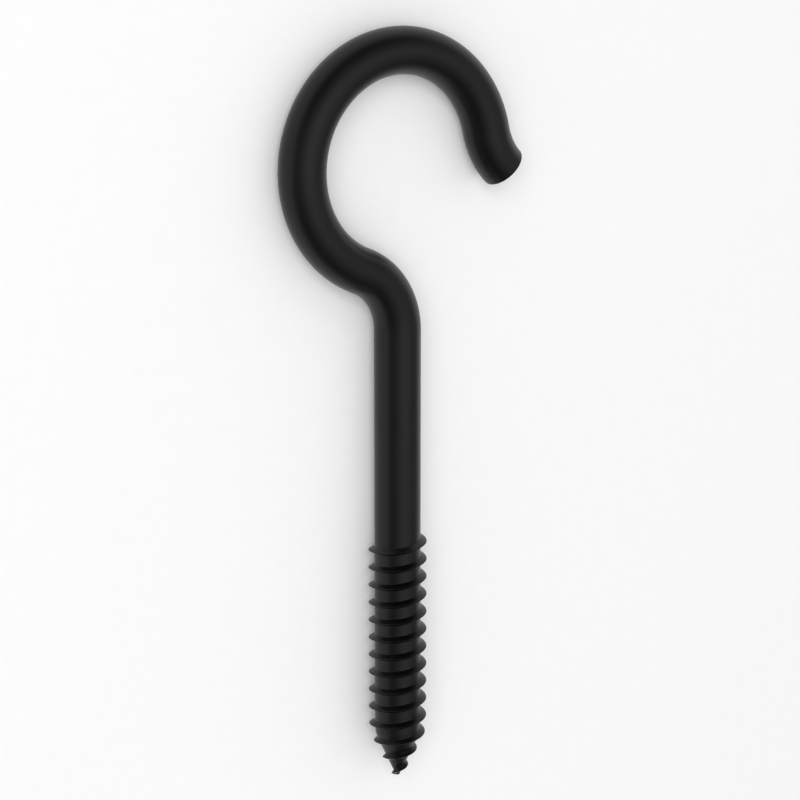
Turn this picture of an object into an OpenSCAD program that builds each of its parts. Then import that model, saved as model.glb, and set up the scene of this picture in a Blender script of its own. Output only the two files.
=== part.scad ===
// Screw hook: one length of steel wire, with a wood screw thread on its shank and a round open hook
// bent at its other end. It lies on its side: the shank runs along Y with its point towards -Y, the
// bends lie in the XY plane, and the origin is on the shank's axis, where the thread ends.
// Sizes are in millimetres and angles in degrees.

/* [Wire] */
// Diameter of the wire
wire_d = 6; // [5.5:0.1:6.5]
// Length over all, from the tip of the point to the far side of the hook
overall_l = 99.3; // [95:0.1:120]

/* [Hook] */
// Inside diameter of the round hook
hook_inside_d = 22.3; // [20:0.1:26]
// Angle that the wire turns through around the hook
hook_sweep = 234.7; // [220:0.1:240]
// Radius of the neck bend, at the middle of the wire
neck_bend_r = 9; // [8:0.1:12]
// Radius of the bend that turns the lip outwards, at the middle of the wire
lip_bend_r = 10; // [8:0.1:14]
// Angle that the lip turns back through
lip_sweep = 33.1; // [20:0.1:45]

/* [Thread] */
// Length of the thread, from the tip of the point to where the ridge has faded out
thread_l = 34.1; // [25:0.1:45]
// Diameter over the crests
thread_d = 7.6; // [7:0.1:8]
// How far the thread's core lies below the surface of the plain wire
core_step = 0.05; // [0.05:0.01:0.3]
// Distance from one crest to the next
pitch = 2.41; // [2:0.01:3]
// Width of the ridge at its root
ridge_w = 0.9; // [0.5:0.05:1.2]
// Width of the ridge at its crest
crest_w = 0.06; // [0.02:0.02:0.3]
// Distance of the lowest crest from the tip, on the side towards +X
first_crest = 1.61; // [0.8:0.01:2.4]
// Turns over which the ridge fades out at the end of the thread
fade_turns = 0.3; // [0.1:0.05:0.9]

/* [Point] */
// Length of the conical point
point_l = 6.1; // [4:0.1:9]
// Diameter of the blunt tip
tip_d = 0.46; // [0.3:0.02:1]
// Height of the ridge at the tip
tip_ridge_h = 0.5; // [0.2:0.05:0.6]
// Distance from the tip at which the ridge reaches its full height
full_ridge_l = 8.5; // [6:0.1:12]

/* [Hidden] */
$fn = 72;

wire_r = wire_d / 2;
hook_r = hook_inside_d / 2 + wire_r;

// The neck bend meets the hook where both run the same way, with the hook's centre on the shank's axis.
neck_sweep = acos(neck_bend_r / (neck_bend_r + hook_r));
neck_rise = sqrt(pow(neck_bend_r + hook_r, 2) - pow(neck_bend_r, 2));
shank_l = overall_l - wire_r - hook_r - neck_rise;

core_r = wire_r - core_step;
ridge_h = thread_d / 2 - core_r;
last_crest = thread_l - ridge_w / 2;

// The thread's surface is a grid of columns around the axis. In every column there are five rows for
// each turn: the ridge's two roots, its crest's two edges and the middle of the land above it.
columns = 36;
rows = [-ridge_w / 2, -crest_w / 2, crest_w / 2, ridge_w / 2, pitch / 2];
rows_per_turn = len(rows);
first_turn = -2;
last_turn = ceil((thread_l - first_crest) / pitch) + 1;
row_count = (last_turn - first_turn) * rows_per_turn;

// Radius of the point and the core at height z above the tip
function core_r_at(z) = tip_d / 2 + (core_r - tip_d / 2) * min(1, z / point_l);

// Height of the ridge where its crest is at height z: lower towards the tip, and faded out at its end
function ridge_h_at(z) =
    let (growth = min(1, max(0, z / full_ridge_l)))
    let (fade = min(1, max(0, (last_crest - z) / (fade_turns * pitch))))
    (tip_ridge_h + (ridge_h - tip_ridge_h) * growth) * fade;

// Height of the crest nearest to height z, a part of a turn around from the side towards +X
function crest_near(z, turn) =
    let (start = first_crest + pitch * turn)
    start + pitch * round((z - start) / pitch);

// Share of the ridge's height that remains at a distance along the axis from its crest
function ridge_share(distance) =
    min(1, max(0, (ridge_w / 2 - distance) / (ridge_w / 2 - crest_w / 2)));

function thread_r(z, turn) =
    let (crest = crest_near(z, turn))
    core_r_at(z) + ridge_h_at(crest) * ridge_share(abs(z - crest));

function thread_point(z, column) =
    let (r = thread_r(z, column / columns))
    [r * cos(360 * column / columns), r * sin(360 * column / columns), z];

// Height of a grid point. The rows climb one pitch in each turn.
function row_z(column, row) =
    first_crest + pitch * (first_turn + floor(row / rows_per_turn) + column / columns)
    + rows[row % rows_per_turn];

// Index of a grid point. The ring of points at the tip comes first and the ring at the top second, and
// the rows that would pass either end are gathered into its ring. The last column is the first one again,
// one turn further up.
function point_index(column, row) =
    let (z = row_z(column, row))
    column == columns ? point_index(0, row + rows_per_turn)
    : z <= 0 ? column
    : z >= thread_l ? columns + column
    : (2 + row) * columns + column;

// Triangles between two neighbouring columns and rows, without those that a gathered row has closed up
function cell(column, row) =
    let (a = point_index(column, row))
    let (b = point_index(column + 1, row))
    let (c = point_index(column + 1, row + 1))
    let (d = point_index(column, row + 1))
    [for (face = [[a, d, c], [a, c, b]])
        if (face[0] != face[1] && face[1] != face[2] && face[2] != face[0]) face];

// The threaded length and its point, upright with the tip at z = 0
module thread() {
    tip_ring = [for (i = [0 : columns - 1]) thread_point(0, i)];
    top_ring = [for (i = [0 : columns - 1]) thread_point(thread_l, i)];
    grid = [for (j = [0 : row_count + rows_per_turn], i = [0 : columns - 1]) thread_point(row_z(i, j), i)];
    sides = [for (i = [0 : columns - 1], j = [0 : row_count - 1]) each cell(i, j)];
    tip_face = [for (i = [0 : columns - 1]) i];
    top_face = [for (i = [columns - 1 : -1 : 0]) columns + i];
    polyhedron(concat(tip_ring, top_ring, grid), concat([tip_face, top_face], sides), convexity = 10);
}

// The plain part of the shank, between the thread and the neck bend
module plain_shank() {
    translate([0, 0, thread_l])
        cylinder(h = shank_l - thread_l, d = wire_d);
}

// A bend that sets off along +Z and turns towards -X. The children carry on from its end.
module bend(radius, sweep) {
    translate([-radius, 0, 0]) {
        rotate([90, 0, 0])
            rotate_extrude(angle = sweep)
                translate([radius, 0])
                    circle(d = wire_d);
        rotate([0, -sweep, 0])
            translate([radius, 0, 0])
                children();
    }
}

// Makes the next bend turn the other way
module other_way() {
    rotate([0, 0, 180])
        children();
}

// The bent end: the neck, the round hook and the lip, each from the end of the last
module hook() {
    bend(neck_bend_r, neck_sweep)
        other_way()
            bend(hook_r, hook_sweep)
                other_way()
                    bend(lip_bend_r, lip_sweep);
}

module screw_hook() {
    color("#1d1e1d")
        rotate([-90, 0, 0])
            translate([0, 0, -thread_l]) {
                thread();
                plain_shank();
                translate([0, 0, shank_l])
                    hook();
            }
}

screw_hook();
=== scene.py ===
"""Looks of a black coated screw hook that lies on a white floor.

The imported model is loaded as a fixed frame, one finely modelled hook stands for its only node, and a
small studio with a floor, a softly lit room, one soft panel and a camera is set up around it. Sizes are
in millimetres and angles in degrees in the classes below. They become metres and radians where a mesh, a
material, a lamp or the camera is made.
"""

import logging
import math
from dataclasses import dataclass, field
from enum import Enum

import bpy
import numpy as np
from mathutils import Matrix, Vector

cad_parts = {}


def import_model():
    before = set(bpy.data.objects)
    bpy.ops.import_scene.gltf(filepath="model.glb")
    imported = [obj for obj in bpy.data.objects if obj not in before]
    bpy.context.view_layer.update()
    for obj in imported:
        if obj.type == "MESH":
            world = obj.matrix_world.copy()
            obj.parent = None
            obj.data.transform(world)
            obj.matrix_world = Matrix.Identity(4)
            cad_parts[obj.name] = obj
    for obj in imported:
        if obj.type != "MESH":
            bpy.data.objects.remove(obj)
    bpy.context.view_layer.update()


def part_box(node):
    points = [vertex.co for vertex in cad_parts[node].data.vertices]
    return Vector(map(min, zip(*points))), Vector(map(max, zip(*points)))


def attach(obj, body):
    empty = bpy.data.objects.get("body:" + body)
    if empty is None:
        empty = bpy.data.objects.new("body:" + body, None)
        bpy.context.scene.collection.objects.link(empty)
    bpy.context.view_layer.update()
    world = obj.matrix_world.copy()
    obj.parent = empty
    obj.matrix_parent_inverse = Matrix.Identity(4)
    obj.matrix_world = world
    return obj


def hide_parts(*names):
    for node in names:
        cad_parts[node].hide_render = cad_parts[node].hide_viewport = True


LOG = logging.getLogger("screw_hook")
MM = 0.001
BODY = "root"
NODE = "screw_hook"
PIECE = "coated_wire_hook"
# Angle between the mesh's rings where an end of the wire is rounded.
ROUNDING_STEP = math.pi / 8


@dataclass(frozen=True)
class MixSockets:
    """Which sockets of a Mix node hold its two values and its result, because their names aren't unique."""

    first: int
    second: int
    result: int


COLOUR_MIX = MixSockets(first=6, second=7, result=2)
NUMBER_MIX = MixSockets(first=2, second=3, result=0)


class Ray(Enum):
    """Kinds of ray that a material or the world can tell apart, by the name of their Light Path output."""

    CAMERA = "Is Camera Ray"
    GLOSSY = "Is Glossy Ray"
    TRANSMISSION = "Is Transmission Ray"


def linear(hex_colour: str) -> tuple[float, float, float, float]:
    """Turns an sRGB hex colour into a linear one.

    Args:
        hex_colour: six hex digits after a #, such as "#1a1b1a".

    Returns:
        Linear red, green and blue, and an alpha of 1.
    """
    shares = [int(hex_colour[i:i + 2], 16) / 255 for i in (1, 3, 5)]
    red, green, blue = (s / 12.92 if s <= 0.04045 else ((s + 0.055) / 1.055) ** 2.4 for s in shares)
    return red, green, blue, 1.0


def towards(azimuth: float, elevation: float) -> tuple[float, float, float]:
    """Gives a direction of length 1.

    Args:
        azimuth: angle from +X towards +Y in degrees.
        elevation: angle above the floor in degrees.

    Returns:
        The direction's x, y and z.
    """
    turn, lift = math.radians(azimuth), math.radians(elevation)
    return math.cos(turn) * math.cos(lift), math.sin(turn) * math.cos(lift), math.sin(lift)


def add_node(tree: bpy.types.NodeTree, kind: str, settings: dict[str, object] | None = None,
             links: dict[str | int, object] | None = None) -> bpy.types.Node:
    """Adds a node to a tree, with its settings, its input values and its links.

    Args:
        tree: node tree of a material or of the world.
        kind: Blender's type name of the node.
        settings: attributes of the node to set, by name.
        links: what goes into each input, by the input's name or number: a value, or a socket to link from.

    Returns:
        The new node.
    """
    node = tree.nodes.new(kind)
    for name, value in (settings or {}).items():
        setattr(node, name, value)
    for name, source in (links or {}).items():
        if isinstance(source, bpy.types.NodeSocket):
            tree.links.new(source, node.inputs[name])
        else:
            node.inputs[name].default_value = source
    return node


def new_material(name: str) -> bpy.types.Material:
    """Makes an empty node material.

    Args:
        name: name of the material.

    Returns:
        A material whose node tree holds nothing.
    """
    material = bpy.data.materials.new(name)
    material.use_nodes = True
    material.node_tree.nodes.clear()
    return material


@dataclass(frozen=True)
class BlackEnamel:
    """Satin black stoving enamel over steel wire, dipped and baked.

    It gives the eye a nearly black, neutral surface with a broad soft sheen: even and closed, with only a
    very fine orange peel and a faint unevenness in how glossy it is.
    """

    colour: str = "#030303"
    thin_colour: str = "#060706"
    roughness: float = 0.35
    roughness_spread: float = 0.04
    ior: float = 1.36
    peel_size: float = 0.35
    peel_depth: float = 0.0015
    cloud_size: float = 6.0

    def material(self) -> bpy.types.Material:
        """Builds the enamel's material.

        Returns:
            The material, with its patterns laid out in the hook's own millimetres.
        """
        material = new_material("satin_black_stoving_enamel")
        tree = material.node_tree
        place = add_node(tree, "ShaderNodeTexCoord")
        # Orange peel: the enamel flows into low bumps a few times as wide as the coat is thick.
        peel = add_node(tree, "ShaderNodeTexNoise",
                        links={"Vector": place.outputs["Object"], "Scale": 1 / (self.peel_size * MM),
                               "Detail": 2.0, "Roughness": 0.5})
        bump = add_node(tree, "ShaderNodeBump",
                        links={"Height": peel.outputs["Fac"], "Strength": 1.0,
                               "Distance": self.peel_depth * MM})
        # Clouds: the coat runs a little thinner and glossier in places.
        clouds = add_node(tree, "ShaderNodeTexNoise",
                          links={"Vector": place.outputs["Object"], "Scale": 1 / (self.cloud_size * MM),
                                 "Detail": 3.0, "Roughness": 0.6})
        shade = add_node(tree, "ShaderNodeMix", {"data_type": "RGBA"},
                         {"Factor": clouds.outputs["Fac"], COLOUR_MIX.first: linear(self.colour),
                          COLOUR_MIX.second: linear(self.thin_colour)})
        gloss = add_node(tree, "ShaderNodeMapRange",
                         links={"Value": clouds.outputs["Fac"],
                                "To Min": self.roughness - self.roughness_spread,
                                "To Max": self.roughness + self.roughness_spread})
        surface = add_node(tree, "ShaderNodeBsdfPrincipled",
                           links={"Base Color": shade.outputs[COLOUR_MIX.result],
                                  "Roughness": gloss.outputs["Result"], "IOR": self.ior, "Metallic": 0.0,
                                  "Normal": bump.outputs["Normal"]})
        add_node(tree, "ShaderNodeOutputMaterial", links={"Surface": surface.outputs["BSDF"]})
        return material


@dataclass(frozen=True)
class WhitePaint:
    """Matt white emulsion, rolled onto a flat board.

    It gives the eye an even white ground that keeps soft shadows, with hardly visible roller flecks.
    """

    colour: str = "#f7f7f7"
    fleck_colour: str = "#f4f4f4"
    roughness: float = 1.0
    fleck_size: float = 2.0

    def material(self) -> bpy.types.Material:
        """Builds the paint's material.

        Returns:
            The material, with its flecks laid out in real millimetres.
        """
        material = new_material("matt_white_emulsion")
        tree = material.node_tree
        place = add_node(tree, "ShaderNodeTexCoord")
        flecks = add_node(tree, "ShaderNodeTexNoise",
                          links={"Vector": place.outputs["Object"], "Scale": 1 / (self.fleck_size * MM)})
        shade = add_node(tree, "ShaderNodeMix", {"data_type": "RGBA"},
                         {"Factor": flecks.outputs["Fac"], COLOUR_MIX.first: linear(self.colour),
                          COLOUR_MIX.second: linear(self.fleck_colour)})
        surface = add_node(tree, "ShaderNodeBsdfPrincipled",
                           links={"Base Color": shade.outputs[COLOUR_MIX.result],
                                  "Roughness": self.roughness, "Specular IOR Level": 0.0})
        add_node(tree, "ShaderNodeOutputMaterial", links={"Surface": surface.outputs["BSDF"]})
        return material


@dataclass
class TubeMesh:
    """Points and faces of a round bar, collected from one end to the other."""

    columns: int
    points: list[np.ndarray] = field(default_factory=list)
    faces: list[tuple[int, ...]] = field(default_factory=list)
    count: int = 0

    def add_points(self, points: np.ndarray) -> int:
        """Adds points: a ring with one for each column, the middle of an end, or all of a thread.

        Args:
            points: one row for each point, in millimetres.

        Returns:
            The index of the first of them.
        """
        self.points.append(points)
        self.count += len(points)
        return self.count - len(points)

    def bridge(self, lower: int, upper: int) -> None:
        """Joins two rings with quads.

        Args:
            lower: index of the first point of the ring that comes first along the bar.
            upper: index of the first point of the next ring.
        """
        for i in range(self.columns):
            j = (i + 1) % self.columns
            self.faces.append((lower + i, lower + j, upper + j, upper + i))

    def close(self, ring: int, centre: np.ndarray, at_start: bool) -> None:
        """Closes an end with a fan of triangles.

        Args:
            ring: index of the last ring's first point.
            centre: point in the middle of the end face.
            at_start: whether this is the bar's first end, which turns the triangles round.
        """
        middle = self.add_points(centre[None, :])
        for i in range(self.columns):
            j = (i + 1) % self.columns
            self.faces.append((middle, ring + j, ring + i) if at_start else (middle, ring + i, ring + j))


@dataclass
class WireBends:
    """The wire's centre line past its straight shank: the neck, the round hook and the lip.

    Radii are those of the centre line, and step is the most that two rings of the mesh are apart.
    """

    wire_r: float = 3.0
    hook_r: float = 14.15
    neck_bend_r: float = 9.0
    lip_bend_r: float = 10.0
    hook_sweep: float = 234.7
    lip_sweep: float = 33.1
    step: float = 0.35

    @property
    def neck_sweep(self) -> float:
        """Angle of the neck bend in degrees, which puts the hook's centre on the shank's axis."""
        return math.degrees(math.acos(self.neck_bend_r / (self.neck_bend_r + self.hook_r)))

    @property
    def rise(self) -> float:
        """Distance along the shank's axis from the start of the neck bend to the hook's far side."""
        reach = self.neck_bend_r + self.hook_r
        return math.sqrt(reach ** 2 - self.neck_bend_r ** 2) + self.hook_r + self.wire_r

    def stations(self, start: float) -> list[tuple[np.ndarray, float]]:
        """Places rings along the bends.

        Args:
            start: height on the shank's axis at which the neck bend begins.

        Returns:
            For each ring its centre (x, height) and how far the wire has turned to the left, in radians.
        """
        bends = ((self.neck_bend_r, self.neck_sweep), (self.hook_r, -self.hook_sweep),
                 (self.lip_bend_r, self.lip_sweep))
        place = np.array([0.0, start])
        heading = 0.0
        found = []
        for radius, sweep in bends:
            side = math.copysign(1, sweep)
            centre = place - side * radius * np.array([math.cos(heading), math.sin(heading)])
            parts = math.ceil(radius * math.radians(abs(sweep)) / self.step)
            for part in range(1, parts + 1):
                angle = heading + math.radians(sweep) * part / parts
                outward = side * np.array([math.cos(angle), math.sin(angle)])
                found.append((centre + radius * outward, angle))
            place, heading = found[-1]
        return found


@dataclass
class WoodThread:
    """The thread and the conical point, as the radius of the wire at a height and a part of a turn.

    Heights are distances from the tip. The crest's places are in halves of its width from the crest line,
    and shares are of the ridge's height over the core.
    """

    wire_r: float = 3.0
    length: float = 34.1
    crest_r: float = 3.8
    pitch: float = 2.41
    first_crest: float = 1.61
    crest_w: float = 0.03
    flank_w: float = 0.435
    fillet_r: float = 0.1
    fade_turns: float = 0.3
    point_l: float = 6.1
    shoulder_l: float = 0.5
    tip_r: float = 0.23
    tip_round: float = 0.12
    tip_ridge_h: float = 0.5
    full_ridge_l: float = 8.5
    crest_places: tuple[float, ...] = (0.0, 0.7, 1.8)
    crest_shares: tuple[float, ...] = (1.0, 0.99, 0.965)
    flank_shares: tuple[float, ...] = (0.9, 0.65, 0.4)
    fillet_points: int = 6
    land_rows: int = 6

    @property
    def ridge_h(self) -> float:
        """Full height of the ridge over the core."""
        return self.crest_r - self.wire_r

    @property
    def fillet(self) -> tuple[np.ndarray, np.ndarray]:
        """Rounds the corner between a flank and the core.

        Returns:
            The fillet's points, as distances from the crest line and heights over the core.
        """
        slope = math.atan2(self.flank_w, self.ridge_h)
        foot = self.crest_w / 2 + self.flank_w
        middle = foot + self.fillet_r * math.tan((math.pi / 2 - slope) / 2)
        angles = np.linspace(math.pi + slope, 1.5 * math.pi, self.fillet_points)
        return middle + self.fillet_r * np.cos(angles), self.fillet_r * (1 + np.sin(angles))

    @property
    def profile(self) -> tuple[np.ndarray, np.ndarray]:
        """Draws half of the ridge, from its crest line down to the core.

        Returns:
            Distances from the crest line, and the share of the ridge's height that stands there.
        """
        places, heights = self.fillet
        rounded = self.crest_w / 2
        crest = rounded * np.array(self.crest_places)
        flank = np.array(self.flank_shares)
        down = rounded + self.flank_w * (1 - flank)
        return (np.concatenate([crest, down, places]),
                np.concatenate([self.crest_shares, flank, heights / self.ridge_h]))

    @property
    def rows(self) -> np.ndarray:
        """Spaces the mesh's rows over one turn: closely over the ridge, and evenly over the land.

        Returns:
            Heights of the rows from the crest line.
        """
        places, _ = self.profile
        land = np.linspace(places[-1], self.pitch - places[-1], self.land_rows + 2)[1:-1]
        return np.concatenate([-places[:0:-1], places, land])

    @property
    def last_low_crest(self) -> float:
        """Finds where the thread rests: its last full crest on the side towards the floor.

        Returns:
            The height of that crest, which is a quarter of a turn from the side towards +X.
        """
        first = self.first_crest + self.pitch / 4
        full_until = self.length - self.crest_w / 2 - self.flank_w - self.fade_turns * self.pitch
        return first + self.pitch * math.floor((full_until - first) / self.pitch)

    def core_r(self, height: np.ndarray) -> np.ndarray:
        """Radius of the point and the core, with the shoulder between them rounded off.

        Args:
            height: distances from the tip.

        Returns:
            The radius at each of them.
        """
        taper = (self.wire_r - self.tip_r) / self.point_l
        below = taper * (self.point_l - height)
        eased = 0.5 * (below + np.sqrt(below ** 2 + (taper * self.shoulder_l) ** 2))
        return self.wire_r - eased

    def radius(self, height: np.ndarray, turn: np.ndarray) -> np.ndarray:
        """Radius of the threaded wire.

        Args:
            height: distances from the tip.
            turn: parts of a turn from the side towards +X.

        Returns:
            The radius at each of them.
        """
        start = self.first_crest + self.pitch * turn
        crest = start + self.pitch * np.round((height - start) / self.pitch)
        last_crest = self.length - self.crest_w / 2 - self.flank_w
        growth = np.clip(crest / self.full_ridge_l, 0, 1)
        fade = np.clip((last_crest - crest) / (self.fade_turns * self.pitch), 0, 1)
        eased_fade = fade * fade * (3 - 2 * fade)
        full = self.tip_ridge_h + (self.ridge_h - self.tip_ridge_h) * growth
        share = np.interp(np.abs(height - crest), *self.profile)
        return self.core_r(height) + full * eased_fade * share


@dataclass
class ScrewHook:
    """The whole screw hook: one wire with its point, thread, shank, neck, round hook and lip.

    The low and high corners are those of the frame's box, in metres. Rows of the thread that lie within
    the tolerance of its ends are gathered there.
    """

    low: Vector
    high: Vector
    wire_r: float = 3.0
    columns: int = 120
    shank_step: float = 0.5
    end_round: float = 0.12
    tip_rings: int = 3
    rim_rings: int = 5
    face_shares: tuple[float, ...] = (0.9, 0.5)
    turns_below_tip: int = 2
    tolerance: float = 1e-6
    finish: BlackEnamel = field(default_factory=BlackEnamel)
    tip: float = field(init=False)
    length: float = field(init=False)
    bends: WireBends = field(init=False)
    thread: WoodThread = field(init=False)
    turns: np.ndarray = field(init=False)

    def __post_init__(self) -> None:
        """Works out what the frame's box says about the hook's size and place."""
        self.tip = self.low.y / MM
        self.length = self.high.y / MM - self.tip
        self.bends = WireBends(wire_r=self.wire_r, hook_r=-self.low.x / MM - self.wire_r)
        self.thread = WoodThread(wire_r=self.wire_r, length=-self.tip)
        self.turns = np.arange(self.columns) / self.columns

    @property
    def contacts(self) -> tuple[Vector, Vector]:
        """Finds what the hook rests on when it lies on its side.

        Returns:
            The lowest points of the thread's last full crest and of the round hook's far side, in metres.
        """
        crest_y = self.tip + self.thread.last_low_crest
        far_y = self.tip + self.length - self.wire_r
        return Vector((0, crest_y * MM, self.low.z)), Vector((0, far_y * MM, -self.wire_r * MM))

    def ring(self, centre: np.ndarray, turned: float, radius: np.ndarray) -> np.ndarray:
        """Places a ring of points around the wire.

        Args:
            centre: the ring's centre (x, height), in the plane of the bends.
            turned: how far the wire has turned to the left there, in radians.
            radius: radius at each column.

        Returns:
            One point for each column, in the frame's directions, in millimetres from the tip.
        """
        across = radius * np.cos(2 * np.pi * self.turns)
        down = radius * np.sin(2 * np.pi * self.turns)
        return np.stack([centre[0] + across * math.cos(turned), centre[1] + across * math.sin(turned),
                         -down], axis=1)

    def build_thread(self, tube: TubeMesh) -> int:
        """Builds the point and the thread from rows that climb one pitch in each turn.

        Rows that would pass the tip or the thread's end are gathered into the ring there.

        Args:
            tube: mesh that the rows are added to.

        Returns:
            The index of the ring at the thread's end.
        """
        thread = self.thread
        bottom = thread.tip_round
        rings = []
        for height in (bottom, thread.length):
            radius = thread.radius(np.full(self.columns, height), self.turns)
            rings.append(tube.add_points(self.ring(np.array([0.0, height]), 0.0, radius)))
        turns_needed = range(-self.turns_below_tip, math.ceil(thread.length / thread.pitch) + 1)
        row_z = np.concatenate([thread.first_crest + thread.pitch * k + thread.rows for k in turns_needed])
        per_turn = len(thread.rows)
        heights = row_z[:, None] + thread.pitch * self.turns[None, :]
        radii = thread.radius(heights, np.broadcast_to(self.turns, heights.shape))
        angle = 2 * np.pi * self.turns
        grid = np.stack([radii * np.cos(angle), heights, -radii * np.sin(angle)], axis=2)
        inside = (heights > bottom + self.tolerance) & (heights < thread.length - self.tolerance)
        index = np.where(heights <= bottom + self.tolerance, rings[0], rings[1]) + np.arange(self.columns)
        start = tube.add_points(grid[inside])
        index[inside] = start + np.arange(np.count_nonzero(inside))
        # The column after the last is the first one again, one turn further up.
        wrapped = np.concatenate([index[:-per_turn], index[per_turn:, :1]], axis=1)
        for row in range(len(wrapped) - 1):
            for i in range(self.columns):
                corners = (wrapped[row, i], wrapped[row, i + 1],
                           wrapped[row + 1, i + 1], wrapped[row + 1, i])
                face = tuple(int(c) for c in dict.fromkeys(corners))
                if len(face) > 2:
                    tube.faces.append(face)
        self.close_tip(tube, rings[0])
        return rings[1]

    def close_tip(self, tube: TubeMesh, ring: int) -> None:
        """Rounds the blunt tip off below the thread's first ring.

        Args:
            tube: mesh that the tip is added to.
            ring: index of the first ring of the point.
        """
        base = tube.points[0]
        height = self.thread.tip_round
        deepest = math.sin(self.tip_rings * ROUNDING_STEP)
        for part in range(1, self.tip_rings + 1):
            angle = part * ROUNDING_STEP
            lower = base * np.array([math.cos(angle), 0, math.cos(angle)])
            lower[:, 1] = height * (1 - math.sin(angle) / deepest)
            ring_below = tube.add_points(lower)
            tube.bridge(ring_below, ring)
            ring = ring_below
        tube.close(ring, np.zeros(3), at_start=True)

    def build_bar(self, tube: TubeMesh, ring: int) -> None:
        """Builds the plain shank, the bends and the cut end.

        Args:
            tube: mesh that the rings are added to.
            ring: index of the ring at the thread's end.
        """
        bend_start = self.length - self.bends.rise
        shank = bend_start - self.thread.length
        parts = math.ceil(shank / self.shank_step)
        heights = self.thread.length + shank * np.arange(1, parts + 1) / parts
        stations = [(np.array([0.0, z]), 0.0) for z in heights] + self.bends.stations(bend_start)
        round_wire = np.full(self.columns, self.wire_r)
        end, turned = stations.pop()
        onward = np.array([-math.sin(turned), math.cos(turned)])
        for centre, angle in stations:
            following = tube.add_points(self.ring(centre, angle, round_wire))
            tube.bridge(ring, following)
            ring = following
        for part in range(self.rim_rings):
            angle = part * ROUNDING_STEP
            centre = end - onward * self.end_round * (1 - math.sin(angle))
            radius = round_wire - self.end_round * (1 - math.cos(angle))
            following = tube.add_points(self.ring(centre, turned, radius))
            tube.bridge(ring, following)
            ring = following
        for share in self.face_shares:
            following = tube.add_points(self.ring(end, turned, share * round_wire))
            tube.bridge(ring, following)
            ring = following
        tube.close(ring, np.array([end[0], end[1], 0.0]), at_start=False)

    def build(self) -> bpy.types.Object:
        """Builds the hook's mesh where the frame has it, dresses it and lets it ride on its body.

        Returns:
            The finished object.
        """
        tube = TubeMesh(self.columns)
        end_of_thread = self.build_thread(tube)
        self.build_bar(tube, end_of_thread)
        points = (np.concatenate(tube.points) + np.array([0.0, self.tip, 0.0])) * MM
        mesh = bpy.data.meshes.new(PIECE)
        mesh.from_pydata(points.tolist(), [], tube.faces)
        mesh.update()
        mesh.shade_smooth()
        mesh.materials.append(self.finish.material())
        hook = bpy.data.objects.new(PIECE, mesh)
        bpy.context.scene.collection.objects.link(hook)
        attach(hook, BODY)
        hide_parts(NODE)
        LOG.info("%s: %d points, %d faces", hook.name, len(points), len(tube.faces))
        return hook


@dataclass(frozen=True)
class Glow:
    """A soft glow in the room, such as a feathered softbox, that shows in the hook's gloss."""

    azimuth: float
    elevation: float
    spread: float
    strength: float

    def add(self, tree: bpy.types.NodeTree, direction: bpy.types.NodeSocket) -> bpy.types.NodeSocket:
        """Adds the glow to the world's nodes, as a bell curve around its direction.

        Args:
            tree: the world's node tree.
            direction: socket that gives the direction looked in.

        Returns:
            The socket with the glow's strength in that direction.
        """
        sharpness = 1 / math.radians(self.spread) ** 2
        nearness = add_node(tree, "ShaderNodeVectorMath", {"operation": "DOT_PRODUCT"},
                            {0: direction, 1: towards(self.azimuth, self.elevation)})
        power = add_node(tree, "ShaderNodeMath", {"operation": "MULTIPLY_ADD"},
                         {0: nearness.outputs["Value"], 1: sharpness, 2: -sharpness})
        bell = add_node(tree, "ShaderNodeMath", {"operation": "EXPONENT"}, {0: power.outputs[0]})
        glow = add_node(tree, "ShaderNodeMath", {"operation": "MULTIPLY"},
                        {0: bell.outputs[0], 1: self.strength})
        return glow.outputs[0]


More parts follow.
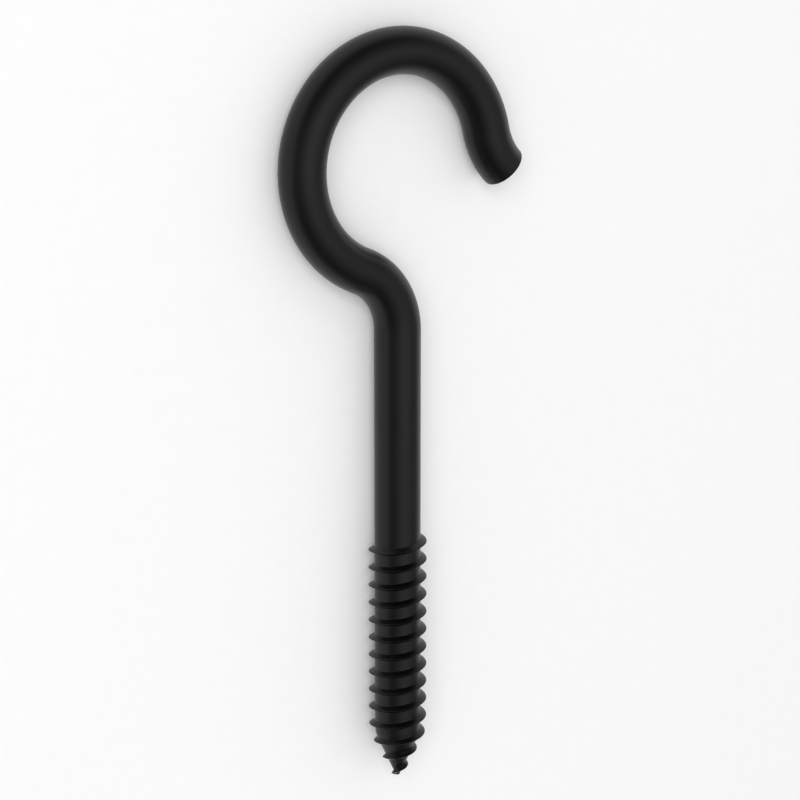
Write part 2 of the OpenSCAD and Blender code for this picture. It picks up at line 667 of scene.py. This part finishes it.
@dataclass
class Room:
    """The room around the hook: an even dome lights it, and its gloss shows pale walls and soft glows.

    The walls are at their full level up to wall_fade below wall_top, and have faded out at wall_top.
    """

    dome_level: float = 0.68
    wall_level: float = 0.65
    wall_top: float = 17.0
    wall_fade: float = 11.0
    glows: tuple[Glow, ...] = (
        Glow(azimuth=0, elevation=90, spread=25, strength=1.35),
        Glow(azimuth=0, elevation=40, spread=20, strength=0.4),
        Glow(azimuth=180, elevation=40, spread=20, strength=0.25),
        Glow(azimuth=300, elevation=40, spread=20, strength=0.1),
        Glow(azimuth=0, elevation=4, spread=12, strength=0.5),
        Glow(azimuth=30, elevation=4, spread=12, strength=0.5),
        Glow(azimuth=180, elevation=4, spread=12, strength=0.5))

    def add_walls(self, tree: bpy.types.NodeTree, direction: bpy.types.NodeSocket) -> bpy.types.NodeSocket:
        """Adds pale walls that fade out upwards.

        Args:
            tree: the world's node tree.
            direction: socket that gives the direction looked in.

        Returns:
            The socket with the walls' strength in that direction.
        """
        split = add_node(tree, "ShaderNodeSeparateXYZ", links={"Vector": direction})
        fade_start = math.sin(math.radians(self.wall_top - self.wall_fade))
        walls = add_node(tree, "ShaderNodeMapRange", {"interpolation_type": "SMOOTHSTEP"},
                         {"Value": split.outputs["Z"], "From Min": fade_start,
                          "From Max": math.sin(math.radians(self.wall_top)),
                          "To Min": self.wall_level, "To Max": 0.0})
        return walls.outputs["Result"]

    def build(self) -> bpy.types.World:
        """Builds the world.

        Returns:
            The world, which lights matt surfaces evenly and shows the room to every other ray.
        """
        world = bpy.data.worlds.new("room")
        bpy.context.scene.world = world
        # Each kind of ray finds its own light, so the dome mustn't be sampled as a lamp as well.
        world.cycles.sampling_method = "NONE"
        world.use_nodes = True
        tree = world.node_tree
        tree.nodes.clear()
        direction = add_node(tree, "ShaderNodeTexCoord").outputs["Generated"]
        level = self.add_walls(tree, direction)
        for glow in self.glows:
            total = add_node(tree, "ShaderNodeMath", {"operation": "ADD"},
                             {0: level, 1: glow.add(tree, direction)})
            level = total.outputs[0]
        path = add_node(tree, "ShaderNodeLightPath")
        seen = path.outputs[Ray.CAMERA.value]
        for ray in (Ray.GLOSSY, Ray.TRANSMISSION):
            either = add_node(tree, "ShaderNodeMath", {"operation": "MAXIMUM"},
                              {0: seen, 1: path.outputs[ray.value]})
            seen = either.outputs[0]
        chosen = add_node(tree, "ShaderNodeMix",
                          links={"Factor": seen, NUMBER_MIX.first: self.dome_level,
                                 NUMBER_MIX.second: level})
        light = add_node(tree, "ShaderNodeBackground",
                         links={"Color": linear("#ffffff"), "Strength": chosen.outputs[NUMBER_MIX.result]})
        add_node(tree, "ShaderNodeOutputWorld", links={"Surface": light.outputs["Background"]})
        return world


@dataclass
class SoftPanel:
    """A square lamp with a broad even face, such as a softbox, aimed at the hook."""

    name: str
    azimuth: float
    elevation: float
    distance: float
    size: float
    strength: float

    def build(self, aim: Vector) -> bpy.types.Object:
        """Hangs the panel and aims it.

        Args:
            aim: point that the panel faces, in metres.

        Returns:
            The lamp.
        """
        lamp = bpy.data.lights.new(self.name, "AREA")
        lamp.shape = "SQUARE"
        lamp.size = self.size * MM
        # A panel's power grows with its area, so that strength is how bright its face is.
        lamp.energy = self.strength * math.pi * lamp.size ** 2
        panel = bpy.data.objects.new(self.name, lamp)
        away = Vector(towards(self.azimuth, self.elevation))
        panel.location = aim + away * self.distance * MM
        panel.rotation_euler = away.to_track_quat("Z", "Y").to_euler()
        panel.visible_glossy = False
        bpy.context.scene.collection.objects.link(panel)
        return panel


@dataclass
class Studio:
    """The floor, the room, the soft panel and the camera around the hook.

    The low and high corners of the frame's box and the two points that the hook rests on are in metres.
    The camera's azimuth, elevation and aim_offset are given as if the hook stood upright on its point.
    """

    low: Vector
    high: Vector
    contacts: tuple[Vector, Vector]
    floor_size: float = 6000.0
    rise_margin: float = 60.0
    azimuth: float = -34.92
    elevation: float = 14.69
    distance: float = 321.2
    focal_length: float = 112.78
    nearest: float = 10.0
    aim_offset: tuple[float, float, float] = (-0.5, -0.19, 1.94)
    paint: WhitePaint = field(default_factory=WhitePaint)
    room: Room = field(default_factory=Room)
    key: SoftPanel = field(default_factory=lambda: SoftPanel(
        "key_panel", azimuth=155, elevation=52, distance=1500, size=960, strength=4.1))

    def build_floor(self) -> bpy.types.Object:
        """Lays a white floor that meets the hook at the two points that it rests on.

        The frame keeps the shank level, but the thread is thicker than the wire. So the floor rises by
        12 mm in a metre under the hook, which then lies on it as one that has come to rest. It is level
        from a margin past the hook's ends.

        Returns:
            The floor.
        """
        half = self.floor_size * MM / 2
        crest, far_side = self.contacts
        slope = (far_side.z - crest.z) / (far_side.y - crest.y)
        rise_start = self.low.y - self.rise_margin * MM
        rise_end = self.high.y + self.rise_margin * MM
        points, strips = [], []
        for y in (-half, rise_start, rise_end, half):
            z = crest.z + slope * (min(max(y, rise_start), rise_end) - crest.y)
            points += [(-half, y, z), (half, y, z)]
        for first in range(0, len(points) - 2, 2):
            strips.append((first, first + 1, first + 3, first + 2))
        mesh = bpy.data.meshes.new("floor")
        mesh.from_pydata(points, [], strips)
        mesh.shade_smooth()
        mesh.materials.append(self.paint.material())
        floor = bpy.data.objects.new("floor", mesh)
        bpy.context.scene.collection.objects.link(floor)
        return floor

    def build_camera(self) -> bpy.types.Object:
        """Sets up the camera, first around the upright hook and then laid down with it.

        Returns:
            The camera.
        """
        lay_down = Matrix.Rotation(math.radians(-90), 4, "X")
        stand_up = lay_down.inverted()
        aim = stand_up @ ((self.low + self.high) / 2) + Vector(self.aim_offset) * MM
        turn = Matrix.Rotation(math.radians(self.azimuth), 4, "Z")
        tilt = Matrix.Rotation(math.radians(90 - self.elevation), 4, "X")
        back_off = Matrix.Translation((0, 0, self.distance * MM))
        lens = bpy.data.cameras.new("camera")
        lens.lens = self.focal_length
        lens.clip_start = self.nearest * MM
        camera = bpy.data.objects.new("camera", lens)
        camera.matrix_world = lay_down @ Matrix.Translation(aim) @ turn @ tilt @ back_off
        bpy.context.scene.collection.objects.link(camera)
        bpy.context.scene.camera = camera
        return camera

    def build(self) -> None:
        """Builds everything around the hook."""
        self.build_floor()
        self.room.build()
        self.key.build((self.low + self.high) / 2)
        self.build_camera()
        bpy.context.scene.view_settings.view_transform = "Standard"
        crest, far_side = self.contacts
        LOG.info("studio: floor meets the hook at %.2f and %.2f mm", crest.z / MM, far_side.z / MM)


def main() -> None:
    logging.basicConfig(level=logging.INFO, format="%(name)s: %(message)s")
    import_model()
    low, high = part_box(NODE)
    hook = ScrewHook(low, high)
    hook.build()
    Studio(low, high, hook.contacts).build()


if __name__ == "__main__":
    main()
